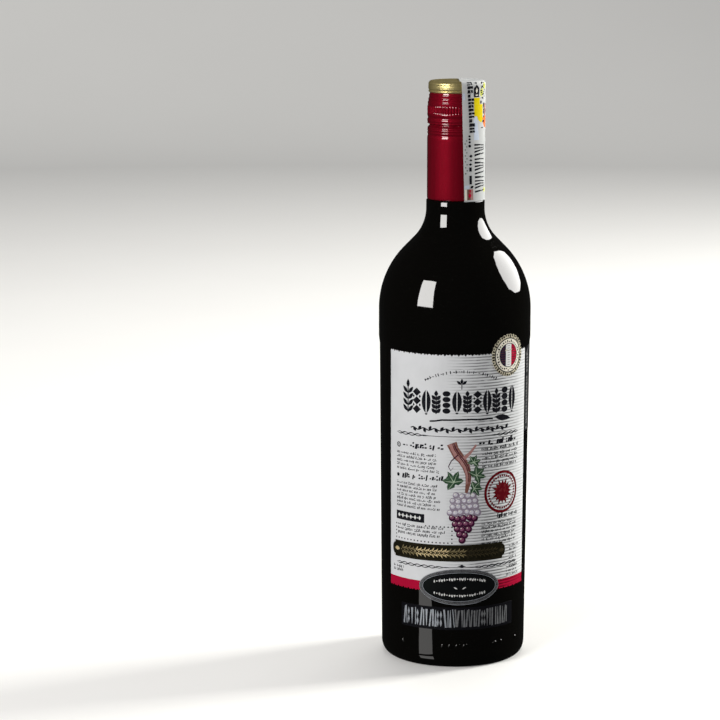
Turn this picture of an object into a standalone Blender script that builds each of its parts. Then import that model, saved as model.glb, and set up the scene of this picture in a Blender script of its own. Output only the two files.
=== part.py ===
"""A 75 cl bottle of red wine with a long screw cap, built as its real pieces.

The origin is at the middle of the base, +Z is up and the middle of the front label faces -Y.
Sizes below are in millimetres and degrees. Azimuth is measured from the front, towards +X.
"""

import math

import bmesh
import bpy

mm = 0.001

# The glass
bearing_inner_radius = 29.5
bearing_outer_radius = 33.0
heel_height = 6.5
wall_radius_at_base = 36.92
wall_taper = 0.0086
panel_top = 162.0
panel_step_height = 5.0
shoulder_ring_radius = 38.8
shoulder_start = 180.6
shoulder_arc_radius = 45.0
shoulder_slope = math.radians(44.4)
neck_arc_radius = 21.3
neck_radius = 14.85
punt_depth = 14.0
collar_top = 270.8
collar_radius = 13.85
finish_radius = 12.6
finish_start = 273.4
finish_top = 295.0
neck_end_gap = 1.0
neck_end_chamfer = 0.4
collar_step = 0.2
glass_steps = 72

# The cap
skirt_bottom = 236.9
skirt_radius = 14.5
cap_top = 296.5
top_disc_radius = 12.4
gold_radius = 14.0
cap_inner_radius = 14.15
cap_inner_neck_radius = 12.95
cap_top_thickness = 0.9
collar_clearance = 0.4
finish_clearance = 0.2
knurl_depth = 0.3
knurl_bottom = 279.2
knurl_top = 284.6
knurl_margin = 0.1
cap_steps = 84

# Radius and height down the cap's side: the gold lip, the stepped red shoulder, the beads and the tear groove
above_knurls = [
    (13.6, 291.9),
    (13.95, 291.4),
    (13.35, 290.5),
    (13.6, 289.3),
    (13.9, 287.7),
    (14.3, 286.2),
    (14.35, 285.2),
]
below_knurls = [
    (14.2, 278.4),
    (14.5, 277.3),
    (14.45, 275.8),
    (13.5, 274.8),
    (13.5, 274.0),
    (14.35, 273.0),
    (14.4, 271.4),
    (14.15, 270.3),
]
gold_band_bottom = 292.3
knurl_radius = 14.45
skirt_top = 269.2

# The papers: how far each layer stands off what carries it, and how thick it is
first_layer_gap = 0.25
second_layer_gap = 0.7
paper_thickness = 0.2
label_column_width = 4.0

label_arc = -0.7
label_width = 83.4
label_bottom = 40.0
label_top = 163.0
label_tooth_pitch = 1.6
label_tooth_height = 0.8

seal_arc = 25.5
seal_height = 161.0
seal_radius = 10.9
seal_teeth = 30
seal_tooth_height = 0.35

oval_arc = -1.0
oval_height = 43.0
oval_half_width = 21.2
oval_half_height = 9.5
oval_columns = 36

lower_strip_arc = -1.4
lower_strip_width = 64.0
lower_strip_bottom = 20.4
lower_strip_top = 32.4

side_label_left_arc = 42.6
side_label_width = 74.0
side_label_bottom = 119.0
side_label_top = 163.0

seal_strip_left_at_top = 4.1
seal_strip_skew = 6.6
seal_strip_sweep = 163.8
seal_strip_bottom = 236.5
seal_strip_corner = 1.9
seal_strip_flap_edge = 1.5
seal_strip_columns = 30

sharp_angle = math.radians(35)


def clear_scene():
    for found in list(bpy.data.objects):
        bpy.data.objects.remove(found, do_unlink=True)


def material(name, colour, roughness, metallic=0.0):
    made = bpy.data.materials.new(name)
    made.use_nodes = True
    shader = made.node_tree.nodes["Principled BSDF"]
    shader.inputs["Base Color"].default_value = (*colour, 1.0)
    shader.inputs["Roughness"].default_value = roughness
    shader.inputs["Metallic"].default_value = metallic
    return made


def arc(centre, radius, start, end, count):
    """Points (r, z) on a circle, from one angle to another, both ends included."""
    angles = [start + (end - start) * i / count for i in range(count + 1)]
    return [(centre[0] + radius * math.cos(a), centre[1] + radius * math.sin(a)) for a in angles]


def wall_radius(height):
    """The outer radius of the glass between the heel and the shoulder: the label panel is set in a little."""
    panel = wall_radius_at_base + wall_taper * height
    rise = min(max((height - panel_top) / panel_step_height, 0.0), 1.0)
    return panel + (shoulder_ring_radius - panel) * rise * rise * (3 - 2 * rise)


def base_profile():
    """The punt, the ring that the bottle stands on, and the heel, from the axis outwards."""
    dome = (bearing_inner_radius**2 + punt_depth**2) / (2 * punt_depth)
    spread = math.asin(bearing_inner_radius / dome)
    punt = arc((0.0, punt_depth - dome), dome, math.pi / 2, math.pi / 2 - spread, 6)
    punt[0] = (0.0, punt_depth)
    reach = wall_radius(heel_height) - bearing_outer_radius
    heel = []
    for step in range(6):
        turn = math.pi / 2 * step / 5
        heel.append((bearing_outer_radius + reach * math.sin(turn), heel_height * (1 - math.cos(turn))))
    return punt + heel


def wall_profile():
    heights = [label_bottom, panel_top]
    heights += [panel_top + panel_step_height * share for share in (0.25, 0.5, 0.75, 1.0)]
    return [(wall_radius(height), height) for height in heights]


def shoulder_profile():
    """A convex arc, a short straight slope and a concave arc that runs out into the neck."""
    convex = arc(
        (shoulder_ring_radius - shoulder_arc_radius, shoulder_start), shoulder_arc_radius, 0.0, shoulder_slope, 8
    )
    drop = neck_arc_radius * (1 - math.cos(shoulder_slope))
    run = (convex[-1][0] - neck_radius - drop) / math.sin(shoulder_slope)
    neck_start = convex[-1][1] + run * math.cos(shoulder_slope) + neck_arc_radius * math.sin(shoulder_slope)
    centre = (neck_radius + neck_arc_radius, neck_start)
    concave = arc(centre, neck_arc_radius, math.pi + shoulder_slope, math.pi, 6)
    return convex + concave


def finish_profile():
    """The neck below the skirt, and what the cap hides of it: a collar and the plain finish."""
    return [
        (neck_radius, skirt_bottom - neck_end_gap),
        (neck_radius - neck_end_chamfer, skirt_bottom - neck_end_chamfer),
        (collar_radius, skirt_bottom - collar_step),
        (collar_radius, collar_top),
        (finish_radius, finish_start),
        (finish_radius, finish_top),
        (0.0, finish_top),
    ]


def cap_outer_profile():
    """The cap's outside, from the top down: gold disc and band, stepped red shoulder, knurls, beads and skirt."""
    gold_corner = gold_radius - top_disc_radius
    corner = arc((top_disc_radius, cap_top - gold_corner), gold_corner, math.pi / 2, 0.0, 3)
    knurled = [(knurl_radius, knurl_top), (knurl_radius, knurl_bottom)]
    skirt = [(skirt_radius, skirt_top), (skirt_radius, skirt_bottom)]
    return [(0.0, cap_top)] + corner + [(gold_radius, gold_band_bottom)] + above_knurls + knurled + below_knurls + skirt


def cap_inner_profile():
    """The cap's inside, from the skirt's mouth up to the axis."""
    return [
        (cap_inner_radius, skirt_bottom),
        (cap_inner_radius, collar_top + collar_clearance),
        (cap_inner_neck_radius, finish_start + finish_clearance),
        (cap_inner_neck_radius, cap_top - cap_top_thickness),
        (0.0, cap_top - cap_top_thickness),
    ]


def turned(name, profile, steps, finish):
    """A solid turned about Z from a profile of (r, z) points that starts and ends on the axis."""
    shape = bmesh.new()
    points = [shape.verts.new((radius * mm, 0.0, height * mm)) for radius, height in profile]
    edges = [shape.edges.new(pair) for pair in zip(points, points[1:])]
    bmesh.ops.spin(
        shape,
        geom=points + edges,
        cent=(0, 0, 0),
        axis=(0, 0, 1),
        angle=math.tau,
        steps=steps,
        use_merge=True,
    )
    bmesh.ops.remove_doubles(shape, verts=shape.verts[:], dist=0.001 * mm)
    return finished(name, shape, finish)


def finished(name, shape, finish):
    """Turns a bmesh into a named, smooth-shaded object with its material."""
    bmesh.ops.recalc_face_normals(shape, faces=shape.faces[:])
    mesh = bpy.data.meshes.new(name)
    shape.to_mesh(mesh)
    shape.free()
    mesh.shade_smooth()
    mesh.set_sharp_from_angle(angle=sharp_angle)
    made = bpy.data.objects.new(name, mesh)
    bpy.context.collection.objects.link(made)
    made.data.materials.append(finish)
    return made


def knurl(cap):
    """Presses every other column of the knurled band inwards, which leaves upright ribs."""
    for point in cap.data.vertices:
        radius = math.hypot(point.co.x, point.co.y)
        level = knurl_bottom - knurl_margin < point.co.z / mm < knurl_top + knurl_margin
        in_band = level and radius > gold_radius * mm
        column = round(math.atan2(point.co.y, point.co.x) / math.tau * cap_steps)
        if in_band and column % 2:
            shrink = 1 - knurl_depth * mm / radius
            point.co.x *= shrink
            point.co.y *= shrink


def on_wall(sideways, height, gap):
    """The point at an arc length from the front's middle and a height, standing off the glass wall."""
    radius = wall_radius(height) + gap
    azimuth = sideways / wall_radius(height)
    return radius * math.sin(azimuth), -radius * math.cos(azimuth), height


def sheet(name, rows, finish, closed=False):
    """A thin curved sheet through rows of points, thickened outwards. Closed rows are rings."""
    shape = bmesh.new()
    grid = [[shape.verts.new([value * mm for value in point]) for point in row] for row in rows]
    for lower, upper in zip(grid, grid[1:]):
        count = len(lower)
        for i in range(count if closed else count - 1):
            j = (i + 1) % count
            shape.faces.new((lower[i], lower[j], upper[j], upper[i]))
    bmesh.ops.remove_doubles(shape, verts=shape.verts[:], dist=0.001 * mm)
    made = finished(name, shape, finish)
    face_outwards(made)
    thicken = made.modifiers.new("Thickness", "SOLIDIFY")
    thicken.thickness = paper_thickness * mm
    thicken.offset = 1.0
    thicken.use_even_offset = False
    return made


def face_outwards(made):
    """Makes an open sheet's normals point away from the bottle's axis or, on the cap's top, up."""
    middle = max(made.data.polygons, key=lambda face: math.hypot(face.center.x, face.center.y))
    if middle.normal.x * middle.center.x + middle.normal.y * middle.center.y < 0:
        made.data.flip_normals()


def toothed_label(name, finish):
    """The front label, with a saw-toothed top and bottom edge."""
    teeth = round(label_width / label_tooth_pitch)
    columns = [label_arc + (i / (2 * teeth) - 0.5) * label_width for i in range(2 * teeth + 1)]
    bottom = [label_bottom + label_tooth_height * (i % 2) for i in range(len(columns))]
    top = [label_top - label_tooth_height * (i % 2) for i in range(len(columns))]
    rows = [[on_wall(side, z, first_layer_gap) for side, z in zip(columns, edge)] for edge in (bottom, top)]
    return sheet(name, rows, finish)


def plain_label(name, left, width, bottom, top, gap, finish):
    count = math.ceil(width / label_column_width)
    columns = [left + width * i / count for i in range(count + 1)]
    rows = [[on_wall(side, z, gap) for side in columns] for z in (bottom, top)]
    return sheet(name, rows, finish)


def round_sticker(name, arc_middle, height, radius, teeth, tooth, finish):
    """A round sticker on the wall; tooth is how far every other point of its rim is set in."""
    rows = []
    for share in (0.0, 0.33, 0.67, 1.0):
        ring = []
        for i in range(2 * teeth):
            turn = math.tau * i / (2 * teeth)
            reach = radius * share - (tooth * (i % 2) if share == 1.0 else 0.0)
            side = arc_middle + reach * math.cos(turn)
            ring.append(on_wall(side, height + reach * math.sin(turn), second_layer_gap))
        rows.append(ring)
    return sheet(name, rows, finish, closed=True)


def oval_sticker(name, finish):
    """An oval sticker, laid out in upright columns from its lower to its upper rim."""
    lower, upper = [], []
    for i in range(oval_columns + 1):
        turn = math.pi * (1 - i / oval_columns)
        side = oval_arc + oval_half_width * math.cos(turn)
        reach = oval_half_height * math.sin(turn)
        lower.append(on_wall(side, oval_height - reach, second_layer_gap))
        upper.append(on_wall(side, oval_height + reach, second_layer_gap))
    return sheet(name, [lower, upper], finish)


def cap_strip(name, finish):
    """The paper strip round the cap's right side, folded over its rim on to the top disc."""
    inner = skirt_radius + first_layer_gap
    level = cap_top + first_layer_gap
    middle = seal_strip_left_at_top + seal_strip_sweep / 2
    corner = arc((inner - seal_strip_corner, level - seal_strip_corner), seal_strip_corner, 0.0, math.pi / 2, 4)
    side = [(inner, seal_strip_bottom), (inner, collar_top)]
    shares = [i / seal_strip_columns for i in range(seal_strip_columns + 1)]
    rows = []
    for radius, height in side + corner:
        skew = seal_strip_skew * (corner[0][1] - min(height, corner[0][1])) / (corner[0][1] - seal_strip_bottom)
        turns = [seal_strip_left_at_top + skew + share * seal_strip_sweep for share in shares]
        rows.append([polar(radius, turn, height) for turn in turns])
    turns = [seal_strip_left_at_top + share * seal_strip_sweep for share in shares]
    edge = [seal_strip_flap_edge / math.cos(math.radians(turn - middle)) for turn in turns]
    for share in (0.5, 1.0):
        start = corner[-1][0]
        rows.append([polar(start + (end - start) * share, turn, level) for end, turn in zip(edge, turns)])
    return sheet(name, rows, finish)


def polar(radius, azimuth, height):
    turn = math.radians(azimuth)
    return radius * math.sin(turn), -radius * math.cos(turn), height


def build():
    clear_scene()
    glass = material("dark glass", (0.004, 0.004, 0.003), 0.06)
    lacquer = material("crimson lacquer", (0.18, 0.001, 0.012), 0.3, 0.6)
    paper = material("label paper", (0.62, 0.62, 0.62), 0.7)
    foil = material("seal foil paper", (0.55, 0.45, 0.25), 0.5)
    pewter = material("dark sticker", (0.03, 0.03, 0.035), 0.4)
    black_film = material("black film", (0.006, 0.006, 0.008), 0.45)
    strip_paper = material("strip paper", (0.6, 0.6, 0.6), 0.7)

    outline = base_profile() + wall_profile() + shoulder_profile() + finish_profile()
    turned("bottle", outline, glass_steps, glass)
    cap = turned("screw_cap", cap_outer_profile() + cap_inner_profile(), cap_steps, lacquer)
    knurl(cap)

    toothed_label("front_label", paper)
    round_sticker("round_seal", seal_arc, seal_height, seal_radius, seal_teeth, seal_tooth_height, foil)
    oval_sticker("oval_sticker", pewter)
    plain_label(
        "lower_strip",
        lower_strip_arc - lower_strip_width / 2,
        lower_strip_width,
        lower_strip_bottom,
        lower_strip_top,
        first_layer_gap,
        black_film,
    )
    plain_label(
        "side_label",
        side_label_left_arc,
        side_label_width,
        side_label_bottom,
        side_label_top,
        first_layer_gap,
        black_film,
    )
    cap_strip("cap_strip", strip_paper)


build()
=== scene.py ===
import random
from math import asin, ceil, cos, degrees, exp, hypot, pi, radians, sin, sqrt, tau

import bmesh
import bpy
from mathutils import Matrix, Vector


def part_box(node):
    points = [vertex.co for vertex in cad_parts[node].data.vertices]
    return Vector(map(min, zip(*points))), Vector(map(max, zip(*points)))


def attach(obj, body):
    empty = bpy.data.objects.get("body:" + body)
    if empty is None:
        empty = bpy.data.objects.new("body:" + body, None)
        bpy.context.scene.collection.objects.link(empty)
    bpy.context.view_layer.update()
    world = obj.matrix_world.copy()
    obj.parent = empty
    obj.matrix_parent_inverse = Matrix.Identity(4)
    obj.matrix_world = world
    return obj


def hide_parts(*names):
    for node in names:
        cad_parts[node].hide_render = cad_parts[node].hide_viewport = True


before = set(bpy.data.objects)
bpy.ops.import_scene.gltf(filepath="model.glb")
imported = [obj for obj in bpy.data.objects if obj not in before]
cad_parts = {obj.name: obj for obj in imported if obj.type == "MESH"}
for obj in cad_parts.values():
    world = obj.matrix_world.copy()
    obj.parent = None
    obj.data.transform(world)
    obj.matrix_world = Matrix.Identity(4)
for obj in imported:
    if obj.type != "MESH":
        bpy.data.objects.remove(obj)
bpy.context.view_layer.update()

mm = 0.001
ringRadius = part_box("bottle")[1].x / mm      # the widest glass, round the shoulder ring
labelLow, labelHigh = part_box("front_label")
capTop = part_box("screw_cap")[1].z / mm
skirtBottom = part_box("screw_cap")[0].z / mm


# Node groups that several materials share

def feed(socket, value):
    # what varies is linked, a number or colour stays on the socket itself
    if isinstance(value, bpy.types.NodeSocket):
        socket.id_data.links.new(value, socket)
    else:
        socket.default_value = value


def newGroup(name, inputs, outputs):
    group = bpy.data.node_groups.new(name, "ShaderNodeTree")
    for label, default in inputs.items():
        socket = group.interface.new_socket(label, in_out="INPUT", socket_type="NodeSocketFloat")
        socket.default_value = default
    for label in outputs:
        group.interface.new_socket(label, in_out="OUTPUT", socket_type="NodeSocketFloat")
    return group, group.nodes.new("NodeGroupInput").outputs, group.nodes.new("NodeGroupOutput").inputs


def mathNode(tree, operation, *values):
    node = tree.nodes.new("ShaderNodeMath")
    node.operation = operation
    for socket, value in zip(node.inputs, values):
        feed(socket, value)
    return node.outputs[0]


def times(tree, *values):
    return mathNode(tree, "MULTIPLY", *values)


def noiseNode(tree, scale, detail=3.0, roughness=0.55, stretch=None):
    place = tree.nodes.new("ShaderNodeTexCoord").outputs["Object"]
    if stretch:
        mapping = tree.nodes.new("ShaderNodeMapping")
        mapping.inputs["Scale"].default_value = stretch
        feed(mapping.inputs["Vector"], place)
        place = mapping.outputs[0]
    node = tree.nodes.new("ShaderNodeTexNoise")
    for label, value in dict(Scale=scale, Detail=detail, Roughness=roughness, Vector=place).items():
        feed(node.inputs[label], value)
    return node.outputs["Fac"]


def rangeNode(tree, value, low, high, newLow=0.0, newHigh=1.0):
    node = tree.nodes.new("ShaderNodeMapRange")
    for label, number in (("From Min", low), ("From Max", high), ("To Min", newLow), ("To Max", newHigh)):
        node.inputs[label].default_value = number
    feed(node.inputs["Value"], value)
    return node.outputs["Result"]


def makePaperFibre():
    # laid ribs, deepest right of the middle, short fibres and a cloudy tint. The groove output is painted
    # shade in the rib hollows, as raking light from the right would cast it: strongest right of the middle,
    # weaker at the right edge
    defaults = {"Rib Pitch": 1.25, "Rib Depth": 1.0, "Fibre Depth": 0.5}
    group, start, end = newGroup("paperFibre", defaults, ["Height", "Groove Shade", "Cloud", "Fleck"])
    split = group.nodes.new("ShaderNodeSeparateXYZ")
    feed(split.inputs[0], group.nodes.new("ShaderNodeTexCoord").outputs["Object"])
    across, up = split.outputs["X"], split.outputs["Z"]
    height = mathNode(group, "ADD", up, times(group, noiseNode(group, 60.0, 2.0), 0.0006))
    turns = mathNode(group, "DIVIDE", times(group, height, tau / mm), start["Rib Pitch"])
    fading = rangeNode(group, across, 0.021, 0.03, 1.0, 0.3)
    # one mask sets both the rib bump's depth and how strong the painted groove shade is
    ribDepthAndShade = times(group, rangeNode(group, across, -0.009, 0.013), fading)
    ribs = times(group, times(group, mathNode(group, "SINE", turns), start["Rib Depth"]), ribDepthAndShade)
    fibres = times(group, noiseNode(group, 1500.0, 4.0, 0.7, (1.0, 1.0, 0.45)), start["Fibre Depth"])
    uneven = rangeNode(group, noiseNode(group, 190.0, 3.0, 0.6, (1.0, 1.0, 4.0)), 0.28, 0.52)
    feed(end["Height"], mathNode(group, "ADD", ribs, fibres))
    # painted shade along the rib hollows, made patchy by a random noise
    feed(end["Groove Shade"], times(group, rangeNode(group, ribs, 0.0, -0.63), uneven))
    feed(end["Cloud"], rangeNode(group, noiseNode(group, 55.0, 4.0), 0.3, 0.7))
    feed(end["Fleck"], rangeNode(group, noiseNode(group, 900.0, 3.0), 0.62, 0.72))
    return group


def makeHandling():
    # smudges from hands and a fine dust, for the glossy finishes
    group, start, end = newGroup("handling", {"Smudge Scale": 70.0, "Amount": 1.0}, ["Smudge", "Dust"])
    smudge = rangeNode(group, noiseNode(group, start["Smudge Scale"], 5.0, 0.5), 0.48, 0.75)
    dust = rangeNode(group, noiseNode(group, 2600.0, 1.0), 0.69, 0.76)
    feed(end["Smudge"], times(group, smudge, start["Amount"]))
    feed(end["Dust"], times(group, dust, start["Amount"]))
    return group


def makeInkCover():
    # how solid the ink lies on the paper: a little starved here and there
    group, start, end = newGroup("inkCover", {"Grain Scale": 700.0}, ["Thin", "Height"])
    noise = noiseNode(group, start["Grain Scale"], 3.0, 0.5)
    feed(end["Thin"], rangeNode(group, noise, 0.5, 0.8))
    feed(end["Height"], noise)
    return group


paperFibre = makePaperFibre()
handling = makeHandling()
inkCover = makeInkCover()


# Materials

def newMaterial(name, **sockets):
    made = bpy.data.materials.new(name)
    made.use_nodes = True
    shader = made.node_tree.nodes["Principled BSDF"].inputs
    for label, value in sockets.items():
        shader[label.replace("_", " ")].default_value = value
    return made, made.node_tree, shader


def placeGroup(tree, group, **values):
    node = tree.nodes.new("ShaderNodeGroup")
    node.node_tree = group
    for label, value in values.items():
        node.inputs[label.replace("_", " ")].default_value = value
    return node.outputs


def mixColours(tree, factor, *colours):
    node = tree.nodes.new("ShaderNodeMix")
    node.data_type = "RGBA"
    feed(node.inputs["Factor"], factor)
    for label, colour in zip("AB", colours):
        feed(node.inputs[label], (*colour, 1.0) if isinstance(colour, tuple) else colour)
    return node.outputs["Result"]


def bumpInto(tree, shader, height, distance, strength=1.0):
    bump = tree.nodes.new("ShaderNodeBump")
    for label, value in dict(Distance=distance * mm, Strength=strength, Height=height).items():
        feed(bump.inputs[label], value)
    feed(shader["Normal"], bump.outputs[0])


glassLook = dict(
    colour=(0.0016, 0.0014, 0.001), dusty=(0.02, 0.02, 0.018), polish=0.02, smudged=0.1, specular=0.84,
)


def darkGlass():
    made, tree, shader = newMaterial("darkGlass", IOR=1.52, Specular_IOR_Level=glassLook["specular"])
    marks = placeGroup(tree, handling, Smudge_Scale=38.0, Amount=0.6)
    feed(shader["Base Color"], mixColours(tree, marks["Dust"], glassLook["colour"], glassLook["dusty"]))
    rough = rangeNode(tree, marks["Smudge"], 0.0, 1.0, glassLook["polish"], glassLook["smudged"])
    feed(shader["Roughness"], rough)
    bumpInto(tree, shader, noiseNode(tree, 110.0, 2.0, 0.4), 0.09, 0.5)      # the skin of moulded glass
    return made


def lacqueredMetal(name, colour, deep, dustColour, **sockets):
    made, tree, shader = newMaterial(name, **sockets)
    marks = placeGroup(tree, handling, Smudge_Scale=160.0, Amount=0.5)
    drawn = noiseNode(tree, 420.0, 3.0, 0.6, (1.0, 1.0, 0.04))      # faint upright draw lines in the metal
    shade = mixColours(tree, rangeNode(tree, drawn, 0.3, 0.7), deep, colour)
    feed(shader["Base Color"], mixColours(tree, marks["Dust"], shade, dustColour))
    feed(shader["Roughness"], mathNode(tree, "ADD", times(tree, marks["Smudge"], 0.1), sockets["Roughness"]))
    bumpInto(tree, shader, drawn, 0.012, 0.5)
    return made


def paper(name, colour, shaded, ribPitch, ribDepth, distance=0.05, roughness=0.72, fleck=None, sheen=0.12):
    made, tree, shader = newMaterial(name, Roughness=roughness, Specular_IOR_Level=sheen)
    fibre = placeGroup(tree, paperFibre, Rib_Pitch=ribPitch, Rib_Depth=ribDepth, Fibre_Depth=0.45)
    tint = mixColours(tree, fibre["Cloud"], shaded, colour)
    tint = mixColours(tree, times(tree, fibre["Fleck"], 0.35), tint, fleck or shaded)
    # painted shade: the rib hollows darkened toward a fifth of the shaded tone
    darkerTone = times(tree, fibre["Groove Shade"], 0.85 * ribDepth)
    feed(shader["Base Color"], mixColours(tree, darkerTone, tint, tuple(0.2 * c for c in shaded)))
    bumpInto(tree, shader, fibre["Height"], distance)
    return made


def ink(name, colour, starved=None, metallic=0.0, roughness=0.6):
    made, tree, shader = newMaterial(name, Metallic=metallic, Roughness=roughness, Specular_IOR_Level=0.04)
    cover = placeGroup(tree, inkCover, Grain_Scale=650.0)
    thin = starved or tuple(min(1.0, c * 1.6 + 0.012) for c in colour)
    feed(shader["Base Color"], mixColours(tree, cover["Thin"], colour, thin))
    bumpInto(tree, shader, cover["Height"], 0.02, 0.6)
    return made


def film(name, colour, roughness):
    made, tree, shader = newMaterial(name, Specular_IOR_Level=0.08)
    marks = placeGroup(tree, handling, Smudge_Scale=90.0, Amount=0.7)
    feed(shader["Base Color"], mixColours(tree, marks["Dust"], colour, (0.05, 0.05, 0.055)))
    feed(shader["Roughness"], mathNode(tree, "ADD", times(tree, marks["Smudge"], 0.2), roughness))
    return made


glass = darkGlass()
redLacquer = lacqueredMetal(
    "redLacquer", (0.25, 0.0, 0.012), (0.2, 0.0, 0.009), (0.26, 0.05, 0.05),
    Metallic=0.6, Roughness=0.56, Specular_IOR_Level=0.12, Coat_Weight=1.0, Coat_Roughness=0.04, Coat_IOR=1.8)
goldLacquer = lacqueredMetal(
    "goldLacquer", (0.84, 0.7, 0.32), (0.72, 0.6, 0.25), (0.6, 0.55, 0.4),
    Metallic=0.86, Roughness=0.38, Specular_IOR_Level=0.3, Coat_Weight=0.12, Coat_Roughness=0.06)
labelPaper = paper("labelPaper", (0.65, 0.655, 0.66), (0.57, 0.575, 0.58), 1.5, 1.0)
bandPaper = paper(
    "bandPaper", (0.38, 0.004, 0.032), (0.31, 0.003, 0.026), 1.5, 1.0, fleck=(0.34, 0.02, 0.04), sheen=0.04)
sealPaper = paper("sealPaper", (0.6, 0.55, 0.42), (0.5, 0.45, 0.32), 1.0, 0.0, roughness=0.5)
stripPaper = paper(
    "stripPaper", (0.52, 0.52, 0.51), (0.43, 0.44, 0.44), 1.0, 0.0, distance=0.02, roughness=0.6)
pewterPaper = paper(
    "pewterPaper", (0.0055, 0.0068, 0.0065), (0.004, 0.0045, 0.005), 0.6, 0.3, roughness=0.5, sheen=0.04)
blackFilm = film("blackFilm", (0.0045, 0.0045, 0.006), 0.42)

# each ink with its slot, its colour, its colour where it is starved, how metallic it is and its roughness
inkTable = dict(
    dark=("print_dark", (0.008, 0.008, 0.011)),
    olive=("print_dark", (0.009, 0.008, 0.004), (0.02, 0.018, 0.01), 0.0, 0.45),
    stamp=("print_red", (0.1, 0.002, 0.006), (0.2, 0.03, 0.03)),
    crimson=("print_red", (0.38, 0.004, 0.03)),
    navy=("print_dark", (0.018, 0.012, 0.03)),
    cream=("label_paper", (0.74, 0.7, 0.6), (0.68, 0.64, 0.54)),
    white=("label_paper", (0.7, 0.7, 0.68), (0.6, 0.6, 0.6)),
    # the next three rows are one gold foil in three tones; in the banner's garland they paint a reflection,
    # bright where the left light would show in it
    gold=("print_metal", (0.62, 0.5, 0.27), (0.42, 0.33, 0.16), 0.2, 0.4),
    goldInkBesideReflection=("print_metal", (0.2, 0.16, 0.08), (0.1, 0.08, 0.04), 0.1, 0.45),
    dimGold=("print_metal", (0.035, 0.028, 0.014), (0.02, 0.016, 0.01), 0.0, 0.45),
    silver=("print_metal", (0.5, 0.53, 0.57), (0.26, 0.28, 0.31), 0.5, 0.34),
    paleGrey=("label_paper", (0.17, 0.17, 0.165), (0.11, 0.11, 0.11)),
    pewter=("print_metal", (0.31, 0.315, 0.325), (0.16, 0.16, 0.17), 0.6, 0.4),
    bark=("print_red", (0.17, 0.07, 0.055), (0.28, 0.15, 0.13)),
    rose=("print_red", (0.34, 0.17, 0.155), (0.42, 0.26, 0.24)),
    leaf=("print_dark", (0.03, 0.065, 0.035), (0.1, 0.16, 0.1)),
    paleLeaf=("label_paper", (0.3, 0.38, 0.27)),
    grape=("print_dark", (0.035, 0.006, 0.022), (0.09, 0.02, 0.06)),
    mauve=("print_red", (0.17, 0.05, 0.1), (0.26, 0.1, 0.17)),
    lilac=("print_dark", (0.24, 0.2, 0.25), (0.36, 0.32, 0.37)),
    paleLilac=("print_red", (0.5, 0.48, 0.53)),
    yellow=("strip_paper", (0.66, 0.52, 0.002), (0.68, 0.56, 0.03)),
    orange=("print_red", (0.75, 0.14, 0.03), (0.8, 0.35, 0.15)),
    blueTint=("strip_paper", (0.5, 0.55, 0.64), (0.6, 0.63, 0.68)),
    hatch=("print_dark", (0.06, 0.02, 0.025)),
    lime=("strip_paper", (0.6, 0.62, 0.12), (0.66, 0.68, 0.4)),
)
inks = {name: ink(name + "Ink", *row[1:]) for name, row in inkTable.items()}
print("materials made:", len(bpy.data.materials))


# Shapes turned on the bottle's axis. Lengths are in millimetres, azimuths run from the front towards +X

def polar(radius, azimuth, height):
    turn = radians(azimuth)
    return radius * sin(turn), -radius * cos(turn), height


def spread(low, high, count):
    return [low + (high - low) * i / count for i in range(count + 1)]


def pairs(values):
    return list(zip(values, values[1:]))


def evenTurns(count):
    return [tau * i / count for i in range(count)]


def around(centre, reach, turn):
    # a point on a circle of that radius, or on an ellipse with that pair of half axes
    wide, tall = reach if isinstance(reach, tuple) else (reach, reach)
    return centre[0] + wide * cos(turn), centre[1] + tall * sin(turn)


def arc(centre, radius, start, end, count):
    return [around(centre, radius, turn) for turn in spread(start, end, count)]


def smoothThrough(points, perSpan):
    # a curve through the points, closer together where they are
    padded = [points[0]] + points + [points[-1]]
    curve = []
    for a, b, c, d in zip(padded, padded[1:], padded[2:], padded[3:]):
        for i in range(perSpan):
            t = i / perSpan
            weights = (
                -t + 2 * t * t - t**3, 2 - 5 * t * t + 3 * t**3, t + 4 * t * t - 3 * t**3, t**3 - t * t)
            curve.append(tuple(sum(w * p[k] for w, p in zip(weights, (a, b, c, d))) / 2 for k in (0, 1)))
    return curve + [points[-1]]


def evenAzimuths(count, extra=()):
    return sorted([360.0 * i / count for i in range(count)] + [e % 360.0 for e in extra])


def vertAt(shape, point):
    return shape.verts.new([value * mm for value in point])


def joinRings(shape, lower, upper):
    if len(lower) == 1 and len(upper) == 1:
        return
    count = max(len(lower), len(upper))
    for i in range(count):
        j = (i + 1) % count
        if len(lower) == 1:
            shape.faces.new((lower[0], upper[j], upper[i]))
        elif len(upper) == 1:
            shape.faces.new((lower[i], lower[j], upper[0]))
        else:
            shape.faces.new((lower[i], lower[j], upper[j], upper[i]))


def meshFrom(name, shape, finish):
    mesh = bpy.data.meshes.new(name)
    shape.to_mesh(mesh)
    shape.free()
    mesh.materials.append(finish)
    return mesh


def addObject(name, data):
    made = bpy.data.objects.new(name, data)
    bpy.context.scene.collection.objects.link(made)
    return made


def finished(name, shape, finish, sharp=40.0, outwards=True):
    if outwards:
        bmesh.ops.recalc_face_normals(shape, faces=shape.faces[:])
    shape.edges.index_update()
    rims = [edge.index for edge in shape.edges if edge.is_boundary]
    mesh = meshFrom(name, shape, finish)
    mesh.shade_smooth()
    mesh.set_sharp_from_angle(angle=radians(sharp))
    for index in rims:
        mesh.edges[index].use_edge_sharp = True
    piece = addObject(name, mesh)
    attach(piece, "root")
    return piece


def standFor(piece, node):
    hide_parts(node)


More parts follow.
